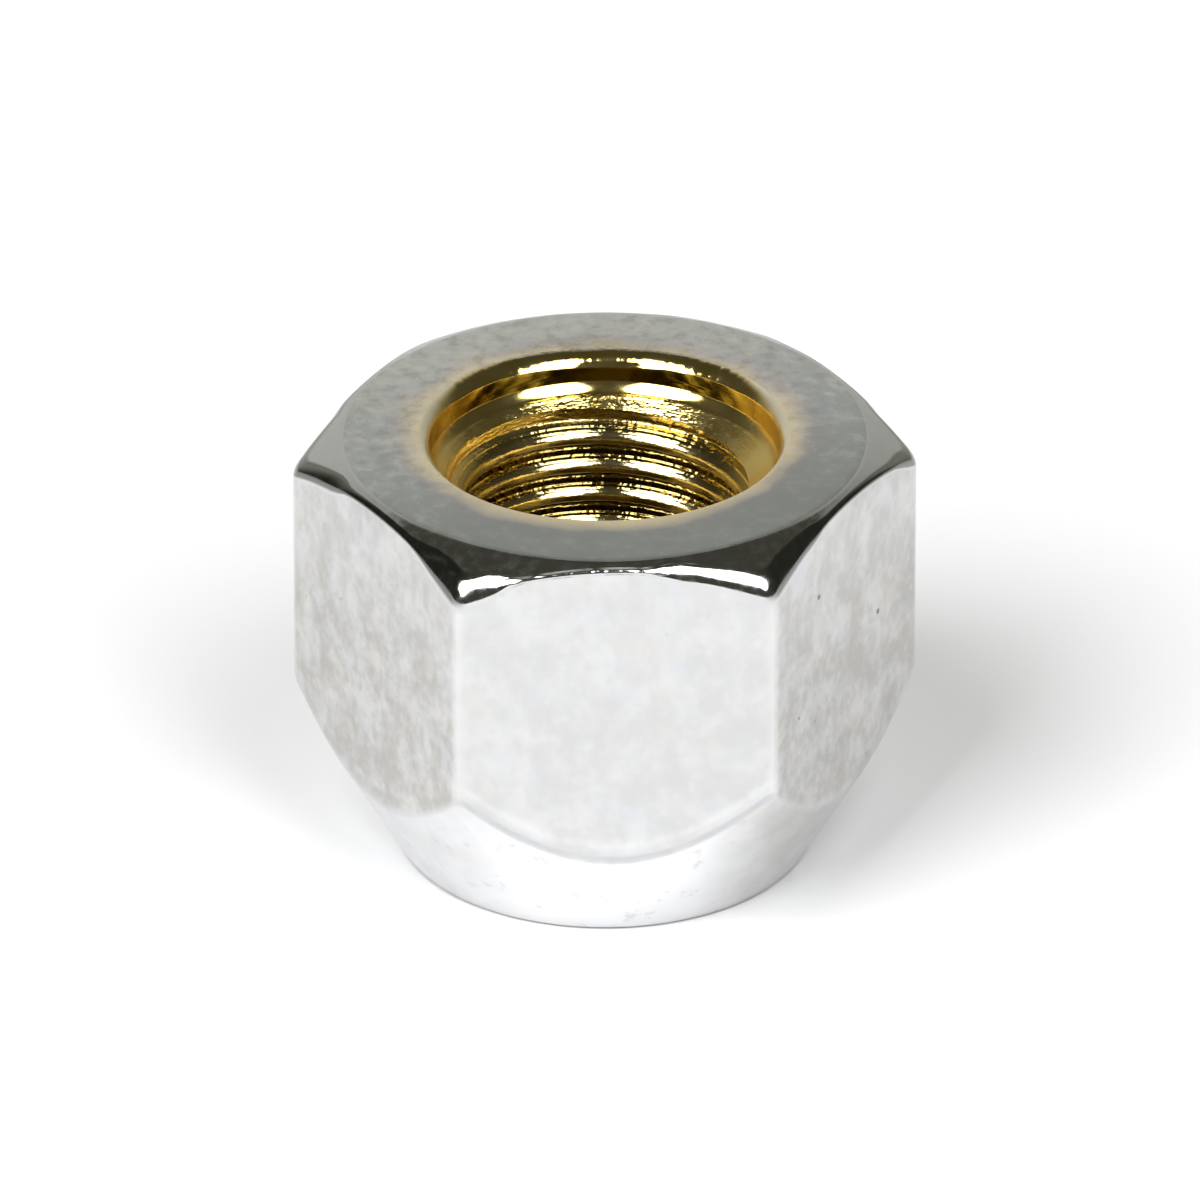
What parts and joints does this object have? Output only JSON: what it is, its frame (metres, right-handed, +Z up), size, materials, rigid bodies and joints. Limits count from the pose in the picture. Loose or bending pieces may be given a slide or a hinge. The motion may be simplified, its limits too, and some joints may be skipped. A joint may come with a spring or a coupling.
{
  "type": "open-end lug nut",
  "caption": "Bright plated hexagonal wheel nut, open at both ends, with a 60 degree conical seat, a chamfered wrench end and a smooth counterbore around its thread.",
  "frame": {"origin": "centre of the seat end face, the small lower end that the nut stands on", "axes": "+Z up the thread axis from the seat end to the counterbored open end; one wrench flat faces -Y, so two upright corners lie on the X axis"},
  "size_m": [0.024, 0.021, 0.0173],
  "materials": {
    "plated_steel": "bright nickel-chrome plating with slight mottling; the hole has a golden cast"
  },
  "bodies": {
    "root": {"lug_nut": "plated_steel"}
  },
  "joints": []
}
